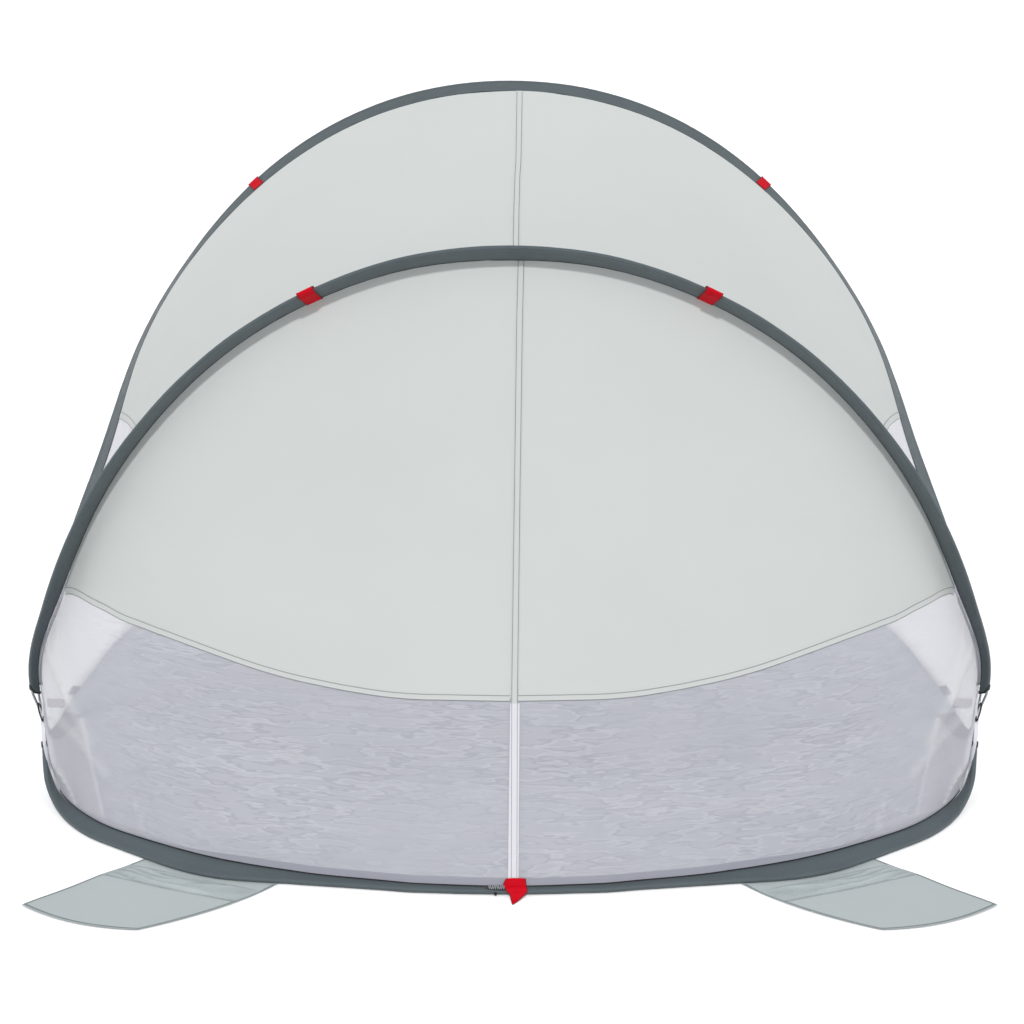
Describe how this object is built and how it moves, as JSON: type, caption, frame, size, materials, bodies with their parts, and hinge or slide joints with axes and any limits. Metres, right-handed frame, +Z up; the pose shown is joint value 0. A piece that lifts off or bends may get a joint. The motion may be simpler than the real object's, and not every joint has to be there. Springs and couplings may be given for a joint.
{
  "type": "pop-up beach tent",
  "caption": "Half-dome beach shelter on crossing sprung loops in fabric sleeves, with fabric and mesh panels, a sewn floor, webbing loops and hinged sand flaps.",
  "frame": {"origin": "on the ground under the middle of the tent", "axes": "+Z up, +Y out of the open entrance, +X to the right seen from behind the tent"},
  "size_m": [1.9324, 1.4794, 1.2573],
  "materials": {
    "canopy_fabric": "pale grey coated polyester, plain weave",
    "white_mesh": "white see-through mesh",
    "sleeve_fabric": "dark slate-grey polyester",
    "floor_fabric": "grey coated floor sheet",
    "flap_fabric": "grey coated floor sheet, slightly glossy",
    "seam_tape": "pale stitched tape",
    "red_webbing": "red woven webbing",
    "black_binding": "black woven binding",
    "sprung_steel": "sprung steel wire",
    "ferrule_metal": "plain metal tube"
  },
  "bodies": {
    "tent": {"back_centre_tape": "seam_tape", "back_edge_binding_left": "black_binding", "back_edge_binding_right": "black_binding", "back_edge_sleeve": "sleeve_fabric", "back_fabric_left": "canopy_fabric", "back_fabric_right": "canopy_fabric", "back_mesh_left": "white_mesh", "back_mesh_right": "white_mesh", "back_seam_tape_left": "seam_tape", "back_seam_tape_right": "seam_tape", "crossing_tie_left": "black_binding", "crossing_tie_right": "black_binding", "flap_strip_left": "flap_fabric", "flap_strip_right": "flap_fabric", "floor_sheet": "floor_fabric", "front_edge_binding_left": "black_binding", "front_edge_binding_right": "black_binding", "front_edge_sleeve": "sleeve_fabric", "front_peg_loop_left": "sleeve_fabric", "front_peg_loop_right": "sleeve_fabric", "low_arch_binding_left": "black_binding", "low_arch_binding_right": "black_binding", "low_arch_sleeve": "sleeve_fabric", "low_guy_loop_left": "red_webbing", "low_guy_loop_right": "red_webbing", "low_loop_ferrule": "ferrule_metal", "low_loop_rod": "sprung_steel", "mesh_centre_tape": "seam_tape", "peg_tab_strap": "red_webbing", "roof_centre_tape": "seam_tape", "roof_fabric_left": "canopy_fabric", "roof_fabric_right": "canopy_fabric", "roof_mesh_left": "white_mesh", "roof_mesh_right": "white_mesh", "roof_seam_tape_left": "seam_tape", "roof_seam_tape_right": "seam_tape", "side_gusset_left": "white_mesh", "side_gusset_right": "white_mesh", "tall_arch_binding_left": "black_binding", "tall_arch_binding_right": "black_binding", "tall_arch_sleeve": "sleeve_fabric", "tall_guy_loop_left": "red_webbing", "tall_guy_loop_right": "red_webbing", "tall_loop_ferrule": "ferrule_metal", "tall_loop_rod": "sprung_steel", "tie_patch_left": "floor_fabric", "tie_patch_right": "floor_fabric"},
    "left_flap": {"sand_flap_left": "flap_fabric"},
    "right_flap": {"sand_flap_right": "flap_fabric"},
    "tab": {"peg_tab": "red_webbing"}
  },
  "joints": [
    {"name": "left_flap_hinge", "type": "hinge", "parent": "tent", "child": "left_flap", "pos_m": [-0.59372, -0.56906, 0.00101], "axis": [-0.9461, 0.3239, 0], "range_deg": [0, 105]},
    {"name": "right_flap_hinge", "type": "hinge", "parent": "tent", "child": "right_flap", "pos_m": [0.59372, -0.56906, 0.00101], "axis": [-0.9461, -0.3239, 0], "range_deg": [0, 105]},
    {"name": "tab_hinge", "type": "hinge", "parent": "tent", "child": "tab", "pos_m": [0.01, -0.62663, 0.00636], "axis": [-1, 0, 0], "range_deg": [0, 110]}
  ]
}
